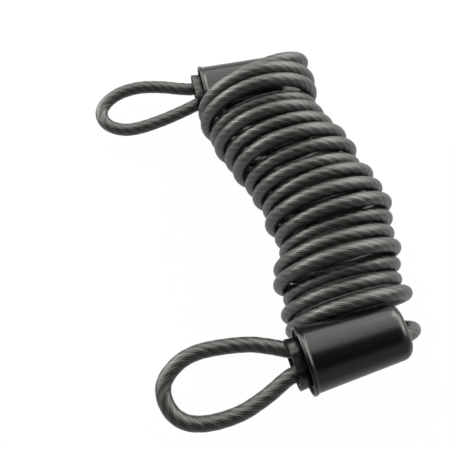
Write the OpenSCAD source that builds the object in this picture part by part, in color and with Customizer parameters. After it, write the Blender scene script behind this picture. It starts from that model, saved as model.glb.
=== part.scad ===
// Coiled security cable: a plastic-covered wire rope wound into a self-recoiling coil.
// Each end is folded back into an eye and crimped in an aluminium ferrule under a moulded sleeve.
// Units: mm. The coil lies on its side along Y. Both eyes reach out towards -X, the far one (+Y)
// at the table and the near one (-Y) level with the top of the coil.
// Origin: middle of the footprint, at the table.

/* [Cable] */
// Diameter over the plastic cover
cable_d = 4; // [3.6:0.1:4.2]

/* [Coil] */
// Mean radius of the turns, measured to the middle of the cable
coil_r = 15.8; // [14.5:0.1:18]
// Average spacing of the turns along the coil
pitch = 4.3; // [4.25:0.05:4.6]
// Radius of the last turn where it runs up into the near sleeve
near_lead_r = 12.9; // [12.5:0.1:14]
// Radius of the first turn where it leaves the far sleeve
far_lead_r = 12.5; // [12:0.1:13]

/* [Ferrules] */
// Length of a crimped ferrule
ferrule_len = 17; // [15:0.5:18]
// Outer diameter of each of the ferrule's two barrels
barrel_d = 7.2; // [6.8:0.1:7.6]
// Play between the ferrule's bore and the cable
crimp_gap = 0.05; // [0.03:0.01:0.15]
// Length of a ferrule that shows outside its sleeve
ferrule_proud = 2.8; // [2.4:0.1:3.2]
// How much a ferrule's open end is wider all round than its barrels
bell_out = 0.9; // [0.7:0.1:1.1]
// Thickness of the rim at a ferrule's open end
bell_rim = 0.4; // [0.3:0.1:0.6]
// Length over which a ferrule widens to its open end
bell_len = 7.8; // [7.4:0.1:8.6]

/* [Sleeves] */
// Length of a sleeve from its mouth to its closed end
sleeve_len = 27; // [25:0.5:30]
// Thickness of the sleeve's wall at its closed end
sleeve_wall = 1.5; // [1:0.1:1.8]
// Play between the sleeve and the ferrule
sleeve_gap = 0.1; // [0.05:0.05:0.2]
// How much the outside grows all round from the closed end to the mouth
mouth_out = 1.1; // [0.8:0.1:1.6]
// Thickness of the lip at the mouth
lip_wall = 0.5; // [0.4:0.1:0.8]
// How much the lip turns out all round at the mouth
lip_out = 0.4; // [0.2:0.1:0.6]
// Depth of the widened hollow at the mouth
mouth_depth = 5; // [3:0.5:8]
// Radius of the rounded edge at the closed end
end_round = 3; // [2:0.5:4.5]
// Play round the cable in the hole through the closed end
hole_gap = 0.4; // [0.2:0.1:0.6]

/* [Layout] */
// How far the near sleeve's axis lies below the coil's top
near_drop = 3.6; // [2:0.2:4.6]
// Turn of the near sleeve in plan, its closed end towards the coil, in degrees
near_yaw = 4; // [0:0.5:4]
// Sideways gap between the coil's last turn and the near sleeve's mouth
near_gap = 0.55; // [0.5:0.05:2]
// Sideways gap between the coil's first turn and the far sleeve's mouth
far_gap = 0.1; // [0.1:0.05:2]

/* [Hidden] */

cable_r = cable_d / 2;
leg_gap = 0.2;
leg_spacing = cable_d + leg_gap;
sleeve_inner_r = barrel_d / 2 + sleeve_gap;
sleeve_r = sleeve_inner_r + sleeve_wall;
mouth_r = sleeve_r + mouth_out;
lip_r = mouth_r + lip_out;
far_height = lip_r;
near_height = 2 * coil_r + cable_d - near_drop;
near_mouth_x = 9.3;
far_mouth_x = 4.4;
// Depths behind the sleeve's mouth of a ferrule's inner face and of the inner end of its bell
face_depth = ferrule_len - ferrule_proud;
bell_depth = bell_len - ferrule_proud;
// The coil's ends run straight this far behind the ferrules.
lead_run = 4.8;
round_fn = 96;
bore_fn = 64;

// ---- Coil ----
// The turns are counted from the far end: a whole count is the top of a turn.
t_first = 0.5;
t_last = 19;
t_lead_far = 1.13;
t_lead_near = 18.37;
rings_per_turn = 24;
coil_sides = 6;
// The turns lie this much into the table's plane and are cut flat there.
flat_cut = cable_d / 10;
lying_r = cable_r - flat_cut;

// A wound cable never lies quite evenly. For the top of each turn, from the far end: how much it
// is wider than coil_r, how far it lies along Y from an even lay, and the x of its middle.
turn_lay = [
    [-2, 0.4, 21.6], [0.7, 1, 19], [0.9, 1.2, 18], [-1, 1.5, 18.9], [0.1, 1.8, 19.6],
    [-0.4, 2.2, 21.8], [0.6, 1.4, 23.4], [-0.3, 1.5, 26], [-0.8, 1.2, 25.9], [-0.6, 1.7, 29.3],
    [0.3, 0.8, 28.7], [0.1, 0.4, 30.4], [-1.3, 0.8, 30.5], [-0.3, 0.3, 28.4], [1.3, -0.2, 27],
    [-1.1, 0.2, 28.1], [-0.4, 0.2, 26.4], [0.7, -0.1, 27]
];
function lay_column(k) = [for (i = [0:len(turn_lay) - 1]) [i + 1, turn_lay[i][k]]];
wider = lay_column(0);
ahead = lay_column(1);
function lay_y(t) = lookup(t, ahead) - pitch * t;

// Places of the sleeves and ferrules in the layout frame, before all is centred over the origin
beside_far = 1.45;
last_top = 18;
sleeve_half_w = mouth_r + leg_spacing / 2;
near_y = lay_y(last_top) - cable_r - sleeve_half_w - near_gap;
far_y = lay_y(beside_far) + cable_r + sleeve_half_w + far_gap;
near_spot = [near_mouth_x, near_y, near_height];
far_spot = [far_mouth_x, far_y, far_height];
far_yaw = 0;

// An end's own frame starts at the middle of its sleeve's mouth, with x along the sleeve.
function turned(v, yaw) = [v[0] * cos(yaw) - v[1] * sin(yaw), v[0] * sin(yaw) + v[1] * cos(yaw), v[2]];
function live_leg(spot, yaw, x) = spot + turned([x, -leg_spacing / 2, 0], yaw);
near_face = live_leg(near_spot, near_yaw, face_depth);
far_face = live_leg(far_spot, far_yaw, face_depth);
near_entry = live_leg(near_spot, near_yaw, face_depth + lead_run);
far_entry = live_leg(far_spot, far_yaw, face_depth + lead_run);

// Middle line of the coil in plan: [turn, x]
bow = concat([[t_first, far_entry[0]]], lay_column(2), [[t_last, near_entry[0]]]);

function smooth(u) = let (v = min(1, max(0, u))) v * v * (3 - 2 * v);
function mix(a, b, u) = a + (b - a) * u;
function near_share(t) = smooth((t - t_lead_near) / (t_last - t_lead_near));
function far_share(t) = smooth((t_lead_far - t) / (t_lead_far - t_first));

function turn_r(t) = mix(
    mix(coil_r + lookup(t, wider), near_lead_r, near_share(t)),
    far_lead_r, far_share(t)
);
function near_line(x) = near_face[1] + (x - near_face[0]) * tan(near_yaw);
function turn_y(t, x) = mix(
    mix(lay_y(t), near_line(x), near_share(t)),
    far_face[1], far_share(t)
);
function turn_lift(t) = (near_height - lying_r - 2 * near_lead_r) * near_share(t)
    + (far_height - lying_r) * far_share(t);
function coil_point(t) =
    let (r = turn_r(t), a = 360 * t + 90, x = lookup(t, bow) + r * cos(a))
    [x, turn_y(t, x), lying_r + turn_lift(t) + r + r * sin(a)];

coil_steps = round((t_last - t_first) * rings_per_turn);
function coil_t(i) = mix(t_first, t_last, i / coil_steps);
coil_rings = [
    for (i = [0:coil_steps])
        let (t = coil_t(i), a = 360 * t + 90)
        coil_ring(coil_point(t), [cos(a), 0, sin(a)], near_yaw * near_share(t))
];
function coil_ring(p, out, yaw) = cord_ring(p, turned(out, yaw), turned([0, 1, 0], yaw), coil_sides);
// The ends run straight, square to the ferrules' faces.
far_end_ring = coil_ring(far_face, [0, 0, -1], far_yaw);
near_end_ring = coil_ring(near_face, [0, 0, 1], near_yaw);

// ---- Eyes ----
// Route of each eye out of its ferrule's bell, in its end's frame, from the dead leg to the live leg
near_eye_route = [
    [2.5, 2.4], [0, 3], [-2.8, 3.9], [-4.4, 4.8], [-6.3, 5.8], [-8.2, 6.7], [-10.2, 7.6],
    [-13.7, 8.6], [-17.2, 9.3], [-20.7, 9.8], [-23.7, 10],
    [-26.2, 9.8], [-28.7, 9.2], [-31.1, 8], [-33.1, 6.5], [-34.5, 4.6], [-35, 2.1], [-34.7, -0.5],
    [-33.6, -3], [-31.4, -5.2], [-28.3, -6.5], [-24.9, -7.1], [-20.4, -7.2], [-16.8, -6.8],
    [-13.8, -6], [-11.2, -5.2], [-8.6, -4.2], [-6, -3.1], [-3.8, -2.4], [-1, -2.1]
];
far_eye_route = [
    [-1, 2.1], [-3.8, 2.2], [-5.9, 2.8], [-8.4, 3.6], [-11.9, 4.9], [-16.4, 6.1], [-19.9, 6.7], [-23.4, 6.7],
    [-26.7, 6.2], [-29.7, 5], [-32.1, 3.3], [-33.6, 1.3], [-34, -0.8], [-33.4, -3.1],
    [-31.8, -5.1], [-29.4, -6.6], [-26.7, -7.5], [-23.6, -7.7], [-20.2, -7.5], [-16.8, -7],
    [-13.4, -6.4], [-9.9, -5.6], [-7, -4.9], [-4.9, -4.3], [-2.8, -3.7], [0, -2.9], [2.5, -2.3]
];
eye_sides = 10;
near_eye_rings = eye_rings(near_eye_route, near_spot, near_yaw);
far_eye_rings = eye_rings(far_eye_route, far_spot, far_yaw);

function eye_rings(route, spot, yaw) =
    let (
        leg = leg_spacing / 2,
        plan = concat(
            [[face_depth, leg], [bell_depth, leg]],
            route,
            [[bell_depth, -leg], [face_depth, -leg]]
        ),
        last = len(plan) - 1
    )
    [
        for (i = [0:last])
            let (
                along = plan[min(i + 1, last)] - plan[max(i - 1, 0)],
                run = along / norm(along),
                p = spot + turned([plan[i][0], plan[i][1], 0], yaw)
            )
            cord_ring(p, turned([-run[1], run[0], 0], yaw), [0, 0, 1], eye_sides)
    ];

// ---- Swept cord ----
function cord_ring(p, out, across, sides) = [
    for (k = [0:sides - 1])
        let (a = 360 * k / sides)
        p + cable_r * (cos(a) * out + sin(a) * across)
];
function flat_list(v) = [for (a = v) each a];
function side_faces(rings, sides) = [
    for (i = [0:rings - 2], k = [0:sides - 1])
        let (a = i * sides + k, b = i * sides + (k + 1) % sides)
        each [[a, a + sides, b], [b, a + sides, b + sides]]
];
function end_faces(rings, sides) = [
    for (k = [1:sides - 2])
        let (z = (rings - 1) * sides)
        each [[0, k, k + 1], [z, z + k + 1, z + k]]
];
module swept(rings, sides) {
    polyhedron(
        points = flat_list(rings),
        faces = concat(side_faces(len(rings), sides), end_faces(len(rings), sides))
    );
}

all_coil_rings = concat([far_end_ring], coil_rings, [near_end_ring]);

// Least gap between one turn of the tube and the next: each corner of a ring against the edges of
// the next turn's rings beside it
function segment_gap(p, a, b) =
    let (ab = b - a, u = min(1, max(0, (p - a) * ab / (ab * ab))))
    norm(p - a - u * ab);
rings_beside = 2;
function ring_gap(i) = min([
    for (j = [i + rings_per_turn - rings_beside:min(i + rings_per_turn + rings_beside, coil_steps - 1)])
        for (k = [0:coil_sides - 1], m = [0:coil_sides - 1])
            min(
                segment_gap(coil_rings[i][k], coil_rings[j][m], coil_rings[j + 1][m]),
                segment_gap(coil_rings[i][k], coil_rings[j][m], coil_rings[j][(m + 1) % coil_sides])
            )
]);
function least_gap() = min([for (i = [0:coil_steps - rings_per_turn]) ring_gap(i)]);
function sum_of(v) = v * [for (x = v) 1];
function coil_length() = 2 * lead_run + sum_of([
    for (i = [0:coil_steps - 1]) norm(coil_point(coil_t(i + 1)) - coil_point(coil_t(i)))
]);
echo(least_gap = least_gap(), coil_length = coil_length());

// ---- Centring over the origin ----
coil_xs = [for (ring = all_coil_rings, p = ring) p[0]];
far_eye_xs = [for (ring = far_eye_rings, p = ring) p[0]];
near_eye_ys = [for (ring = near_eye_rings, p = ring) p[1]];
middle_x = (min(far_eye_xs) + max(coil_xs)) / 2;
middle_y = (min(near_eye_ys) + far_y + lip_r + leg_spacing / 2) / 2;
module centred() {
    translate([-middle_x, -middle_y, 0]) children();
}

// ---- Double-barrelled ferrule and its sleeve ----
// A profile is a list of [radius, distance along the axis], closed along the axis.
// The oval body is two turned barrels joined by a straight middle.
module oval_body(profile) {
    for (side = [-1, 1]) {
        translate([0, side * leg_spacing / 2, 0]) rotate_extrude($fn = round_fn) polygon(profile);
    }
    translate([0, leg_spacing / 2, 0]) rotate([90, 0, 0]) linear_extrude(leg_spacing) polygon(
        concat(profile, [for (i = [len(profile) - 1:-1:0]) [-profile[i][0], profile[i][1]]])
    );
}
// Stands what is built along Z on an end's axis, from x in that end's frame.
module on_axis(spot, yaw, x) {
    translate(spot) rotate([0, 0, yaw]) translate([x, 0, 0]) rotate([0, 90, 0]) children();
}

cut_over = 1;
barrel_r = barrel_d / 2;
bell_r = barrel_r + bell_out;
bore_r = cable_r + crimp_gap;
module ferrule() {
    far_cut = ferrule_len + cut_over;
    difference() {
        oval_body([[0, 0], [bell_r, 0], [barrel_r, bell_len], [barrel_r, ferrule_len], [0, ferrule_len]]);
        oval_body(concat(
            [[0, -cut_over], [bell_r - bell_rim, -cut_over], [bell_r - bell_rim, 0]],
            [[bore_r, bell_len], [bore_r, far_cut], [0, far_cut]]
        ));
    }
}

lip_land = 0.8;
lip_slope = 0.6;
outer_arc_steps = 5;
inner_arc_steps = 2;
function closed_end(r, len, edge, steps) = concat([
    for (i = [0:steps])
        let (a = 90 * i / steps)
        [r - edge + edge * cos(a), len - edge + edge * sin(a)]
], [[0, len]]);
module sleeve_shell() {
    difference() {
        oval_body(concat(
            [[0, 0], [lip_r, 0], [lip_r, lip_land], [mouth_r, lip_land + lip_slope]],
            closed_end(sleeve_r, sleeve_len, end_round, outer_arc_steps)
        ));
        oval_body(concat(
            [[0, -cut_over], [lip_r - lip_wall, -cut_over], [lip_r - lip_wall, lip_land]],
            [[mouth_r - lip_wall, lip_land + lip_slope], [sleeve_inner_r, mouth_depth]],
            closed_end(sleeve_inner_r, sleeve_len - sleeve_wall, end_round - sleeve_wall, inner_arc_steps)
        ));
    }
}

// The cable leaves each sleeve slantwise through the closed end, square to its own run there.
hole_run = sleeve_len - face_depth - lead_run;
near_hole_t = t_last - asin(hole_run / near_lead_r) / 360;
far_hole_t = t_first + asin(hole_run / far_lead_r) / 360;
hole_reach = 5;
module cable_hole(t) {
    step = 0.01;
    run = coil_point(t + step) - coil_point(t - step);
    translate(coil_point(t)) rotate([0, acos(run[2] / norm(run)), atan2(run[1], run[0])])
        cylinder(r = cable_r + hole_gap, h = 2 * hole_reach, center = true, $fn = bore_fn);
}

// ---- Sub-parts ----
cable_colour = [0.42, 0.43, 0.44];
ferrule_colour = [0.72, 0.73, 0.74];
sleeve_colour = [0.05, 0.05, 0.06];
table_cut = 200;

module coil() {
    color(cable_colour) centred() difference() {
        swept(all_coil_rings, coil_sides);
        translate([-table_cut / 2, -table_cut / 2, -table_cut]) cube(table_cut);
    }
}
module near_eye() {
    color(cable_colour) centred() swept(near_eye_rings, eye_sides);
}
module far_eye() {
    color(cable_colour) centred() swept(far_eye_rings, eye_sides);
}
module near_ferrule() {
    color(ferrule_colour) centred()
        on_axis(near_spot, near_yaw, -ferrule_proud) ferrule();
}
module far_ferrule() {
    color(ferrule_colour) centred()
        on_axis(far_spot, far_yaw, -ferrule_proud) ferrule();
}
module near_sleeve() {
    color(sleeve_colour) centred() difference() {
        on_axis(near_spot, near_yaw, 0) sleeve_shell();
        cable_hole(near_hole_t);
    }
}
module far_sleeve() {
    color(sleeve_colour) centred() difference() {
        on_axis(far_spot, far_yaw, 0) sleeve_shell();
        cable_hole(far_hole_t);
    }
}

coil();
near_eye();
far_eye();
near_ferrule();
far_ferrule();
near_sleeve();
far_sleeve();
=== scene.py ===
"""Coiled security cable: dressed model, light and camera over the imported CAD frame.

The sizes of the object and the camera's place are millimetres in the CAD source's layout frame (the
coil lies along Y, the table is z = 0). point() turns them into the row frame, in metres. Lengths in
the looks, the floor and the light are metres in the row frame, apart from those that say mm.
"""
import math

import bpy
import numpy as np
from mathutils import Matrix, Vector


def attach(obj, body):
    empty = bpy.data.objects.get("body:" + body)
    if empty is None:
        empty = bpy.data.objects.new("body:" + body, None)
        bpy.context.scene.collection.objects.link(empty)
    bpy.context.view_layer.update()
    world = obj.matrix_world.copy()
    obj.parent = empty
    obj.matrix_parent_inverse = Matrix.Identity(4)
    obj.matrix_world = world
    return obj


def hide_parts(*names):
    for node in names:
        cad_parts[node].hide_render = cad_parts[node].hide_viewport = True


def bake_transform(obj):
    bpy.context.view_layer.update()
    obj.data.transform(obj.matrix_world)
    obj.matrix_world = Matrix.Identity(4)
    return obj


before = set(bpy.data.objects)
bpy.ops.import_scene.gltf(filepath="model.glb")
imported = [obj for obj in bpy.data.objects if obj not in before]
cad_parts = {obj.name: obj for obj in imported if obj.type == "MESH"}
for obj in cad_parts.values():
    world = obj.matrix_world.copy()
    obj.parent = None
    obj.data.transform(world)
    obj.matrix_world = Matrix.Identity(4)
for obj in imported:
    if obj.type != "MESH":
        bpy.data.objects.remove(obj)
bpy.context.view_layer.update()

MM = 0.001
MIDDLE = (8.1635, -42.767)          # the layout frame's point that is the row frame's origin

# ---- Camera, solved from the outlines of the turns ----
CAMERA_AT = (-12.83, -99.95, 190.42)
CAMERA_FORWARD = (0.07001, 0.30321, -0.95035)
CAMERA_UP = (0.22104, 0.92429, 0.31118)
CAMERA_NEAREST = 0.01               # metres from the camera, where its view begins
FOCAL_PX = 629.96
FRAME_PX = 450
SENSOR = 36.0

# ---- Coil, as in the CAD source ----
CABLE_R = 2.0
LYING_R = 1.6                       # height of the rope's middle where it lies, flat beneath, on the table
COIL_R = 15.8
PITCH = 4.3
NEAR_LEAD_R = 12.9
FAR_LEAD_R = 12.5
T_FIRST, T_LAST = 0.5, 19.0         # turns counted from the far end; a whole count is a top
T_LEAD_FAR, T_LEAD_NEAR = 1.13, 18.37   # where the turns begin to bend towards the ends
LEAD_RUN = 4.8                      # straight run behind each ferrule's face

# For the top of each turn: wider than COIL_R, along Y from an even lay, and the x of its middle
TURN_LAY = (
    (-2, 0.4, 21.6), (0.7, 1, 19), (0.9, 1.2, 18), (-1, 1.5, 18.9), (0.1, 1.8, 19.6),
    (-0.4, 2.2, 21.8), (0.6, 1.4, 23.4), (-0.3, 1.5, 26), (-0.8, 1.2, 25.9), (-0.6, 1.7, 29.3),
    (0.3, 0.8, 28.7), (0.1, 0.4, 30.4), (-1.3, 0.8, 30.5), (-0.3, 0.3, 28.4), (1.3, -0.2, 27),
    (-1.1, 0.2, 28.1), (-0.4, 0.2, 26.4), (0.7, -0.1, 27),
)

# ---- Ends, as in the CAD source ----
FERRULE_LEN = 17.0
FERRULE_PROUD = 2.8
BELL_LEN = 7.8
LEG_SPACING = 4.2
LIP_R = 6.7
FACE_DEPTH = FERRULE_LEN - FERRULE_PROUD
BELL_DEPTH = BELL_LEN - FERRULE_PROUD

# Each end's own frame: the middle of its sleeve's mouth, and the sleeve's turn in plan
NEAR_SPOT = (9.3, -88.45, 32.0)
NEAR_YAW = math.radians(4)
FAR_SPOT = (4.4, 4.935, LIP_R)
FAR_YAW = 0.0

NEAR_EYE_ROUTE = (
    (2.5, 2.4), (0, 3), (-2.8, 3.9), (-4.4, 4.8), (-6.3, 5.8), (-8.2, 6.7), (-10.2, 7.6),
    (-13.7, 8.6), (-17.2, 9.3), (-20.7, 9.8), (-23.7, 10),
    (-26.2, 9.8), (-28.7, 9.2), (-31.1, 8), (-33.1, 6.5), (-34.5, 4.6), (-35, 2.1), (-34.7, -0.5),
    (-33.6, -3), (-31.4, -5.2), (-28.3, -6.5), (-24.9, -7.1), (-20.4, -7.2), (-16.8, -6.8),
    (-13.8, -6), (-11.2, -5.2), (-8.6, -4.2), (-6, -3.1), (-3.8, -2.4), (-1, -2.1),
)
FAR_EYE_ROUTE = (
    (-1, 2.1), (-3.8, 2.2), (-5.9, 2.8), (-8.4, 3.6), (-11.9, 4.9), (-16.4, 6.1), (-19.9, 6.7),
    (-23.4, 6.7), (-26.7, 6.2), (-29.7, 5), (-32.1, 3.3), (-33.6, 1.3), (-34, -0.8), (-33.4, -3.1),
    (-31.8, -5.1), (-29.4, -6.6), (-26.7, -7.5), (-23.6, -7.7), (-20.2, -7.5), (-16.8, -7),
    (-13.4, -6.4), (-9.9, -5.6), (-7, -4.9), (-4.9, -4.3), (-2.8, -3.7), (0, -2.9), (2.5, -2.3),
)

# ---- The rope's mesh ----
STRANDS = 6
SIDES_PER_STRAND = 8
LAY_LENGTH = 18.0                   # one turn of a strand round the rope
RIB_DEPTH = 0.03
RING_STEP = 0.8
POINTS_PER_TURN = 120               # on the coil's centre line
CURVE_STEPS = 12                    # from one point of an eye's route to the next

# ---- The rope's look ----
ROPE_BASE = (0.1, 0.1, 0.095)
ROPE_ROUGHNESS, ROPE_METALLIC = 0.45, 0.7
ROPE_COLOURS_SHADED_IN_VALLEYS = (                    # from the valleys, darkened as painted shade, to the crests
    (0.0, (0.003, 0.003, 0.0029)),
    (0.45, (0.033, 0.0335, 0.031)),
    (1.0, (0.08, 0.081, 0.075)),
)
ROPE_BUMP, ROPE_RELIEF = 0.55, 0.0002   # strength, and metres from valley to crest
COAT_WEIGHT, COAT_ROUGHNESS = 0.8, 0.4
WIRES_PER_STRAND = 3                # those that show on a strand's outside
WIRE_LAY = 5.0                      # mm of rope from one wire to the next, along a strand
CREST_SHARE, WIRE_SHARE = 0.48, 0.52
STREAKS_PER_STRAND, STREAKS_PER_MM = 1.6, 0.12
STREAK_DETAIL = 4.0
STREAK_STRENGTH = 1.1
STREAK_RELIEF = 0.7                 # share of the streaks that shows as relief

# ---- The sleeve's look ----
SLEEVE_BASE = (0.003, 0.003, 0.003)
SLEEVE_ROUGHNESS, SLEEVE_SPECULAR = 0.22, 0.54
SLEEVE_BUMP, SLEEVE_RELIEF = 1.0, 1.0   # the heights below are real ones, in metres
CROWN, CROWN_WIDTH = 40.0, 0.004    # height lost per square metre aside, and how far aside it levels off
EDGE_ROUND, EDGE_SAMPLES = 0.0007, 8
SLEEVE_GRAIN, SLEEVE_GRAIN_HEIGHT = 900.0, 0.000006

# ---- The ferrule's look ----
# Painted shade: the ferrule's colours are darkened all over, far below bare aluminium.
FERRULE_BASE = (0.08, 0.08, 0.08)
FERRULE_ROUGHNESS = 0.3
FERRULE_GRAIN = 700.0
FERRULE_SHADED_COLOURS = ((0.3, (0.02, 0.02, 0.02)), (0.7, (0.09, 0.09, 0.088)))
FERRULE_BUMP, FERRULE_RELIEF = 0.1, 0.00005

# ---- The floor ----
FLOOR_SIZE = 4
PAPER_BASE = (0.9, 0.9, 0.9)
PAPER_ROUGHNESS, PAPER_SPECULAR = 0.9, 0.1
PAPER_GLOW = 0.975                  # share of glow, against lit paper, that the camera sees
PAPER_IN_GLOSS = 0.45               # how much of that glow the glossy surfaces mirror
PAPER_SEEN, PAPER_BOUNCE_AND_SHADE = 0.95, 0.12   # the lit paper's white where it glows, and anywhere else, the painted shade beneath the coil too
BLACK_TO_WHITE = ((0.0, (0, 0, 0)), (1.0, (1, 1, 1)))

# The painted shade beneath the coil, where the paper neither glows nor shows its white: its middle line is
# a parabola with its crown at this x and y
SHADE_CROWN_X, SHADE_CROWN_Y = 0.0255, -0.006
SHADE_BEND, SHADE_MOST_BEND = 5.7, 0.0115   # metres aside per square metre ahead, and the most
SHADE_HALF_WIDTH, SHADE_HALF_LENGTH = 0.015, 0.043
SHADE_MIDDLE_Y = 0.005
SHADE_EDGE = 0.003                  # the width of its soft edge

# ---- The light ----
# What the dim room holds: an even level, and a paler band along the horizon that only gloss shows
ROOM_LEVEL = 0.006
HORIZON_LEVEL = 0.42
HORIZON_TOP, HORIZON_END = 0.62, 0.88   # sines of the heights where the band fades and where it ends

LAMP_TINT = (1.0, 1.0, 0.95)
LAMP_AIM = (0, 0, 0.02)
LAMPS = (                           # name, place, size and watts
    ("rear_softbox", (0.0, 0.35, 0.37), (1.0, 0.72), 5.2),
    ("right_softbox", (0.44, 0.22, 0.24), (0.6, 0.35), 3.4),
    ("left_softbox", (-0.44, 0.38, 0.16), (0.6, 0.3), 3.6),
)


# ---- Camera ----
def point(x, y, z):
    """A layout point in mm as a row-frame point in metres."""
    return Vector(((x - MIDDLE[0]) * MM, (y - MIDDLE[1]) * MM, z * MM))


def make_camera():
    forward = Vector(CAMERA_FORWARD).normalized()
    right = forward.cross(Vector(CAMERA_UP)).normalized()
    up = right.cross(forward)
    camera = bpy.data.objects.new("camera", bpy.data.cameras.new("camera"))
    camera.data.sensor_fit = "HORIZONTAL"
    camera.data.sensor_width = SENSOR
    camera.data.lens = FOCAL_PX / FRAME_PX * SENSOR
    camera.data.clip_start = CAMERA_NEAREST
    turn = Matrix((right, up, -forward)).transposed().to_4x4()
    camera.matrix_world = Matrix.Translation(point(*CAMERA_AT)) @ turn
    bpy.context.scene.collection.objects.link(camera)
    bpy.context.scene.camera = camera


# ---- Routes ----
def smooth(u):
    u = np.clip(u, 0, 1)
    return u * u * (3 - 2 * u)


def mix(a, b, u):
    return a + (b - a) * u


def turned(x, y, yaw):
    return x * math.cos(yaw) - y * math.sin(yaw), x * math.sin(yaw) + y * math.cos(yaw)


def at_end(spot, yaw, x, y):
    """A point given in an end's own frame, in the layout frame."""
    run, across = turned(x, y, yaw)
    return np.array([spot[0] + run, spot[1] + across, spot[2]])


def on_live_leg(spot, yaw, depth):
    """The point at this depth behind the mouth on the leg that runs on into the coil."""
    return at_end(spot, yaw, depth, -LEG_SPACING / 2)


def coil_route():
    """The coil's centre line from the far ferrule's face to the near one's, and each point's outward."""
    t = np.linspace(T_FIRST, T_LAST, int((T_LAST - T_FIRST) * POINTS_PER_TURN) + 1)
    near = smooth((t - T_LEAD_NEAR) / (T_LAST - T_LEAD_NEAR))
    far = smooth((T_LEAD_FAR - t) / (T_LEAD_FAR - T_FIRST))
    near_face = on_live_leg(NEAR_SPOT, NEAR_YAW, FACE_DEPTH)
    far_face = on_live_leg(FAR_SPOT, FAR_YAW, FACE_DEPTH)
    near_entry = on_live_leg(NEAR_SPOT, NEAR_YAW, FACE_DEPTH + LEAD_RUN)
    far_entry = on_live_leg(FAR_SPOT, FAR_YAW, FACE_DEPTH + LEAD_RUN)

    tops = np.arange(1, len(TURN_LAY) + 1)
    wider, ahead, middle = np.transpose(TURN_LAY)
    radius = mix(mix(COIL_R + np.interp(t, tops, wider), NEAR_LEAD_R, near), FAR_LEAD_R, far)
    angle = np.radians(360 * t + 90)
    bow = np.interp(t, [T_FIRST, *tops, T_LAST], [far_entry[0], *middle, near_entry[0]])
    x = bow + radius * np.cos(angle)
    near_line = near_face[1] + (x - near_face[0]) * math.tan(NEAR_YAW)
    y = mix(mix(np.interp(t, tops, ahead) - PITCH * t, near_line, near), far_face[1], far)
    lift = (NEAR_SPOT[2] - LYING_R - 2 * NEAR_LEAD_R) * near + (FAR_SPOT[2] - LYING_R) * far
    z = LYING_R + lift + radius + radius * np.sin(angle)

    outward = np.stack([np.cos(angle), 0 * angle, np.sin(angle)], axis=1)
    route = np.vstack([far_face, np.stack([x, y, z], axis=1), near_face])
    return route, np.vstack([outward[0], outward, outward[-1]])


def eye_route(route, spot, yaw):
    """An eye's centre line: out of the ferrule's dead barrel, round, and back into the live one."""
    leg = LEG_SPACING / 2
    corners = [(FACE_DEPTH, leg), (BELL_DEPTH, leg), *route, (BELL_DEPTH, -leg), (FACE_DEPTH, -leg)]
    line = np.array([at_end(spot, yaw, x, y) for x, y in smooth_line(np.array(corners, float))])
    return line, np.tile([0.0, 0.0, 1.0], (len(line), 1))


def smooth_line(points):
    """A Catmull-Rom curve through the points, with centripetal spacing."""
    ends = np.vstack([2 * points[0] - points[1], points, 2 * points[-1] - points[-2]])
    line = []
    for p0, p1, p2, p3 in zip(ends, ends[1:], ends[2:], ends[3:]):
        gaps = [np.linalg.norm(b - a) ** 0.5 for a, b in ((p0, p1), (p1, p2), (p2, p3))]
        t1, t2, t3 = gaps[0], gaps[0] + gaps[1], sum(gaps)
        for t in np.linspace(t1, t2, CURVE_STEPS, endpoint=False):
            a1 = mix(p0, p1, t / t1)
            a2 = mix(p1, p2, (t - t1) / (t2 - t1))
            a3 = mix(p2, p3, (t - t2) / (t3 - t2))
            b1 = mix(a1, a2, t / t2)
            b2 = mix(a2, a3, (t - t1) / (t3 - t1))
            line.append(mix(b1, b2, (t - t1) / (t2 - t1)))
    line.append(points[-1])
    return np.array(line)


def even_rings(line, outward):
    """Points every RING_STEP along the line, the outward vectors there, and the distances."""
    run = np.concatenate([[0], np.cumsum(np.linalg.norm(np.diff(line, axis=0), axis=1))])
    at = np.linspace(0, run[-1], int(round(run[-1] / RING_STEP)) + 1)
    even = np.column_stack([np.interp(at, run, line[:, k]) for k in range(3)])
    out = np.column_stack([np.interp(at, run, outward[:, k]) for k in range(3)])
    return even, out, at


# ---- The rope's mesh ----
def mesh_object(name, vertices, faces, material, uvs):
    mesh = bpy.data.meshes.new(name)
    mesh.from_pydata([tuple(v) for v in vertices], [], faces)
    layer = mesh.uv_layers.new(name="UVMap")
    layer.data.foreach_set("uv", np.asarray(uvs, float).ravel())
    mesh.polygons.foreach_set("use_smooth", [True] * len(mesh.polygons))
    mesh.materials.append(material)
    mesh.update()
    piece = bpy.data.objects.new(name, mesh)
    bpy.context.scene.collection.objects.link(piece)
    return piece


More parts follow.
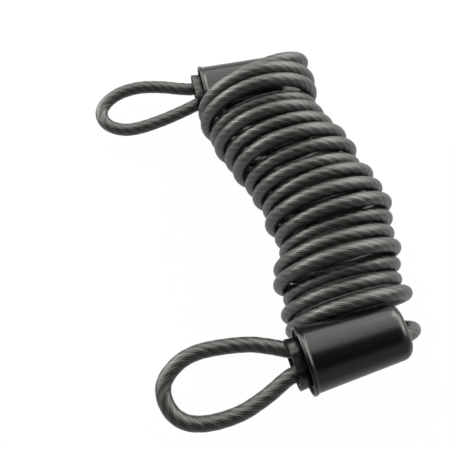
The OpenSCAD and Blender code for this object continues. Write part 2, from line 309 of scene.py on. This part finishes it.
def strand_tube(name, line, outward, material):
    """The covered rope along a line. The strands' ribs wind round it as a right-hand lay.

    U counts strands round the rope, following their twist, and V is the length in mm.
    """
    centre, out, at = even_rings(line, outward)
    along = np.gradient(centre, axis=0)
    along /= np.linalg.norm(along, axis=1)[:, None]
    normal = out - (out * along).sum(axis=1)[:, None] * along
    normal /= np.linalg.norm(normal, axis=1)[:, None]
    side = np.cross(along, normal)

    count = STRANDS * SIDES_PER_STRAND
    rings = len(centre)
    angle = 2 * np.pi * np.arange(count) / count
    twisted = angle[None, :] + 2 * np.pi * at[:, None] / LAY_LENGTH
    radius = CABLE_R - RIB_DEPTH * 0.5 * (1 - np.cos(STRANDS * angle))[None, :, None]
    shell = centre[:, None, :] + radius * (
        np.cos(twisted)[:, :, None] * normal[:, None, :] + np.sin(twisted)[:, :, None] * side[:, None, :])
    shell = shell.reshape(-1, 3)
    shell[:, 2] = np.maximum(shell[:, 2], 0)
    vertices = (shell - [*MIDDLE, 0]) * MM

    ring, step = np.meshgrid(np.arange(rings - 1), np.arange(count), indexing="ij")
    after = (step + 1) % count
    quads = np.stack([ring * count + step, ring * count + after,
                      (ring + 1) * count + after, (ring + 1) * count + step], axis=-1).reshape(-1, 4)
    u = np.stack([step, step + 1, step + 1, step], axis=-1) / SIDES_PER_STRAND
    v = np.stack([at[ring], at[ring], at[ring + 1], at[ring + 1]], axis=-1)
    uvs = np.stack([u, v], axis=-1).reshape(-1, 2)
    caps = [list(range(count))[::-1], list(range((rings - 1) * count, rings * count))]
    cap_uvs = np.zeros((2 * count, 2))
    piece = mesh_object(name, vertices, quads.tolist() + caps, material, np.vstack([uvs, cap_uvs]))
    path = [tuple(p) for p in (centre - [*MIDDLE, 0]) * MM]
    return piece, path, at


# ---- Nodes ----
def feed(tree, socket, value):
    """Set the socket to a constant, or link another node's output to it."""
    if isinstance(value, bpy.types.NodeSocket):
        tree.links.new(value, socket)
    else:
        socket.default_value = value


def node(tree, kind, inputs=None, **settings):
    made = tree.nodes.new(kind)
    for key, value in settings.items():
        setattr(made, key, value)
    for key, value in (inputs or {}).items():
        feed(tree, made.inputs[key], value)
    return made


def math_node(tree, operation, *values):
    made = node(tree, "ShaderNodeMath", operation=operation)
    for socket, value in zip(made.inputs, values):
        feed(tree, socket, value)
    return made.outputs[0]


def product(tree, *values):
    return math_node(tree, "MULTIPLY", *values)


def total(tree, *values):
    return math_node(tree, "ADD", *values)


def wave(tree, value):
    """A cosine of the value, from 0 to 1, with one crest for each whole number."""
    cosine = math_node(tree, "COSINE", product(tree, value, 2 * math.pi))
    return product(tree, total(tree, cosine, 1), 0.5)


def split_xyz(tree, vector):
    return node(tree, "ShaderNodeSeparateXYZ", {"Vector": vector}).outputs


def object_place(tree):
    return node(tree, "ShaderNodeTexCoord").outputs["Object"]


def noise(tree, vector, scale, **more):
    return node(tree, "ShaderNodeTexNoise", {"Vector": vector, "Scale": scale, **more}).outputs[0]


def ramp(tree, factor, stops):
    """A colour ramp with (position, colour) stops."""
    made = node(tree, "ShaderNodeValToRGB", {"Fac": factor})
    elements = made.color_ramp.elements
    while len(elements) < len(stops):
        elements.new(0.5)
    for element, (position, colour) in zip(elements, stops):
        element.position = position
        element.color = (*colour, 1)
    return made.outputs[0]


def bump(tree, height, strength, distance, **more):
    sockets = {"Height": height, "Strength": strength, "Distance": distance, **more}
    return node(tree, "ShaderNodeBump", sockets).outputs[0]


# ---- Materials ----
def new_material(name, base, roughness, metallic=0.0, specular=0.5):
    material = bpy.data.materials.new(name)
    material.use_nodes = True
    shader = material.node_tree.nodes["Principled BSDF"]
    shader.inputs["Base Color"].default_value = (*base, 1)
    shader.inputs["Roughness"].default_value = roughness
    shader.inputs["Metallic"].default_value = metallic
    shader.inputs["Specular IOR Level"].default_value = specular
    return material, material.node_tree, shader


def cable_material():
    """Steel strands under a clear cover: pale crests, valleys darkened with painted shade, fine wires and a
    smooth coat.
    """
    material, tree, shader = new_material("covered_rope", ROPE_BASE, ROPE_ROUGHNESS, metallic=ROPE_METALLIC)
    u, v, _ = split_xyz(tree, node(tree, "ShaderNodeUVMap", uv_map="UVMap").outputs[0])
    crest = wave(tree, u)
    # A strand's wires wind the other way round it, so they lean less than the strand does.
    wires = wave(tree, total(tree, product(tree, u, WIRES_PER_STRAND), product(tree, v, 1 / WIRE_LAY)))
    height = total(tree, product(tree, crest, CREST_SHARE), product(tree, wires, WIRE_SHARE))

    stretch = {"X": product(tree, u, STREAKS_PER_STRAND), "Y": product(tree, v, STREAKS_PER_MM)}
    stretched = node(tree, "ShaderNodeCombineXYZ", stretch).outputs[0]
    streaks = noise(tree, stretched, 1.0, Detail=STREAK_DETAIL)
    uneven = product(tree, math_node(tree, "SUBTRACT", streaks, 0.5), STREAK_STRENGTH)

    # Painted shade: the colour darkens towards the valleys between strands and between wires.
    feed(tree, shader.inputs["Base Color"], ramp(tree, total(tree, height, uneven), ROPE_COLOURS_SHADED_IN_VALLEYS))
    relief = total(tree, height, product(tree, uneven, STREAK_RELIEF))
    feed(tree, shader.inputs["Normal"], bump(tree, relief, ROPE_BUMP, ROPE_RELIEF))
    shader.inputs["Coat Weight"].default_value = COAT_WEIGHT
    shader.inputs["Coat Roughness"].default_value = COAT_ROUGHNESS
    return material


def sleeve_material(spot, yaw):
    """Half-gloss black moulding with faint flow marks. Its flats are a little crowned."""
    material, tree, shader = new_material("black_moulding", SLEEVE_BASE, SLEEVE_ROUGHNESS,
                                          specular=SLEEVE_SPECULAR)
    place = object_place(tree)
    sideways = turned(0, 1, yaw)
    across = node(tree, "ShaderNodeVectorMath", {0: place, 1: (*sideways, 0)}, operation="DOT_PRODUCT")
    axis = sideways[0] * (spot[0] - MIDDLE[0]) + sideways[1] * (spot[1] - MIDDLE[1])
    aside = math_node(tree, "SUBTRACT", across.outputs["Value"], axis * MM)
    square = product(tree, aside, aside)
    ease = total(tree, product(tree, square, 1 / CROWN_WIDTH ** 2), 1)
    crown = product(tree, math_node(tree, "DIVIDE", square, ease), -CROWN)
    rough = product(tree, noise(tree, place, SLEEVE_GRAIN), SLEEVE_GRAIN_HEIGHT)
    height = total(tree, crown, rough)
    rounded = node(tree, "ShaderNodeBevel", {"Radius": EDGE_ROUND}, samples=EDGE_SAMPLES).outputs[0]
    feed(tree, shader.inputs["Normal"], bump(tree, height, SLEEVE_BUMP, SLEEVE_RELIEF, Normal=rounded))
    return material


def ferrule_material():
    """Shiny pressed aluminium, its colour darkened all over as painted shade, in an uneven tone."""
    material, tree, shader = new_material("pressed_metal", FERRULE_BASE, FERRULE_ROUGHNESS, metallic=1.0)
    grain = noise(tree, object_place(tree), FERRULE_GRAIN)
    feed(tree, shader.inputs["Base Color"], ramp(tree, grain, FERRULE_SHADED_COLOURS))
    feed(tree, shader.inputs["Normal"], bump(tree, grain, FERRULE_BUMP, FERRULE_RELIEF))
    return material


def add_coil(look):
    line, outward = coil_route()
    piece, path, at = strand_tube("coil_cable", line, outward, look)
    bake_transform(piece)
    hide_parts("coil")


def add_eye(name, body, route, spot, yaw, look):
    line, outward = eye_route(route, spot, yaw)
    piece, path, at = strand_tube(name + "_cable", line, outward, look)
    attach(piece, body)
    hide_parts(name)


def dress(cad_name, look):
    """Give a CAD node its material."""
    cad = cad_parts[cad_name]
    cad.data.materials.clear()
    cad.data.materials.append(look)


# ---- Stage and light ----
def glow_outside_painted_shade(tree):
    """How much the paper glows: fully away from the coil, not at all in the painted shade beneath it."""
    x, y, _ = split_xyz(tree, object_place(tree))
    from_crown = math_node(tree, "SUBTRACT", y, SHADE_CROWN_Y)
    bend = product(tree, product(tree, from_crown, from_crown), SHADE_BEND)
    bend = math_node(tree, "MINIMUM", bend, SHADE_MOST_BEND)
    aside = total(tree, math_node(tree, "SUBTRACT", x, SHADE_CROWN_X), bend)
    ahead = math_node(tree, "SUBTRACT", y, SHADE_MIDDLE_Y)
    clear = []
    for offset, half in ((aside, SHADE_HALF_WIDTH), (ahead, SHADE_HALF_LENGTH)):
        distance = math_node(tree, "ABSOLUTE", offset)
        edge = {"Value": distance, "From Min": half, "From Max": half + SHADE_EDGE}
        clear.append(node(tree, "ShaderNodeMapRange", edge, interpolation_type="SMOOTHSTEP").outputs[0])
    return math_node(tree, "MAXIMUM", *clear)


def add_floor():
    """White paper that glows for the camera and in gloss, with a painted shade beneath the coil. It still
    takes the object's shadow.
    """
    bpy.ops.mesh.primitive_plane_add(size=FLOOR_SIZE, location=(0, 0, 0))
    floor = bpy.context.object
    floor.name = "floor"
    material, tree, shader = new_material("paper", PAPER_BASE, PAPER_ROUGHNESS, specular=PAPER_SPECULAR)
    seen = node(tree, "ShaderNodeLightPath").outputs
    glossy = product(tree, seen["Is Glossy Ray"], PAPER_IN_GLOSS)
    direct = math_node(tree, "MAXIMUM", seen["Is Camera Ray"], glossy)
    direct = math_node(tree, "MAXIMUM", direct, seen["Is Transmission Ray"])
    # Painted shade: beneath the coil the glow share falls to nothing, and the camera sees the dark bounce
    # white there.
    glow_share = product(tree, direct, glow_outside_painted_shade(tree))
    white = total(tree, product(tree, glow_share, PAPER_SEEN - PAPER_BOUNCE_AND_SHADE), PAPER_BOUNCE_AND_SHADE)
    feed(tree, shader.inputs["Base Color"], ramp(tree, white, BLACK_TO_WHITE))
    glow = node(tree, "ShaderNodeEmission").outputs[0]
    layers = {0: product(tree, glow_share, PAPER_GLOW), 1: shader.outputs[0], 2: glow}
    share = node(tree, "ShaderNodeMixShader", layers)
    feed(tree, tree.nodes["Material Output"].inputs[0], share.outputs[0])
    floor.data.materials.append(material)


def add_world():
    """A dim room with a paler horizon. The camera sees it as plain white."""
    world = bpy.data.worlds.new("room")
    world.use_nodes = True
    tree = world.node_tree
    up = split_xyz(tree, node(tree, "ShaderNodeTexCoord").outputs["Generated"])[2]
    fade = {"Value": up, "From Min": HORIZON_END, "From Max": HORIZON_TOP,
            "To Min": 0, "To Max": HORIZON_LEVEL}
    band = node(tree, "ShaderNodeMapRange", fade, clamp=True).outputs[0]
    seen = node(tree, "ShaderNodeLightPath").outputs
    room = total(tree, product(tree, band, seen["Is Glossy Ray"]), ROOM_LEVEL)
    background = tree.nodes["Background"]
    feed(tree, background.inputs["Strength"], math_node(tree, "MAXIMUM", room, seen["Is Camera Ray"]))
    background.inputs["Color"].default_value = (1, 1, 1, 1)
    bpy.context.scene.world = world


def add_lamp(name, place, size, watts):
    lamp = bpy.data.objects.new(name, bpy.data.lights.new(name, "AREA"))
    lamp.data.shape = "RECTANGLE"
    lamp.data.size, lamp.data.size_y = size
    lamp.data.energy = watts
    lamp.data.color = LAMP_TINT
    lamp.location = place
    lamp.rotation_euler = (Vector(LAMP_AIM) - Vector(place)).to_track_quat("-Z", "Y").to_euler()
    bpy.context.scene.collection.objects.link(lamp)


# ---- The scene ----
make_camera()

cable_look = cable_material()
ferrule_look = ferrule_material()
add_coil(cable_look)
add_eye("near_eye", "near_end", NEAR_EYE_ROUTE, NEAR_SPOT, NEAR_YAW, cable_look)
add_eye("far_eye", "far_half", FAR_EYE_ROUTE, FAR_SPOT, FAR_YAW, cable_look)
dress("near_sleeve", sleeve_material(NEAR_SPOT, NEAR_YAW))
dress("far_sleeve", sleeve_material(FAR_SPOT, FAR_YAW))
dress("near_ferrule", ferrule_look)
dress("far_ferrule", ferrule_look)

add_floor()
add_world()
for lamp in LAMPS:
    add_lamp(*lamp)
bpy.context.scene.view_settings.view_transform = "Standard"
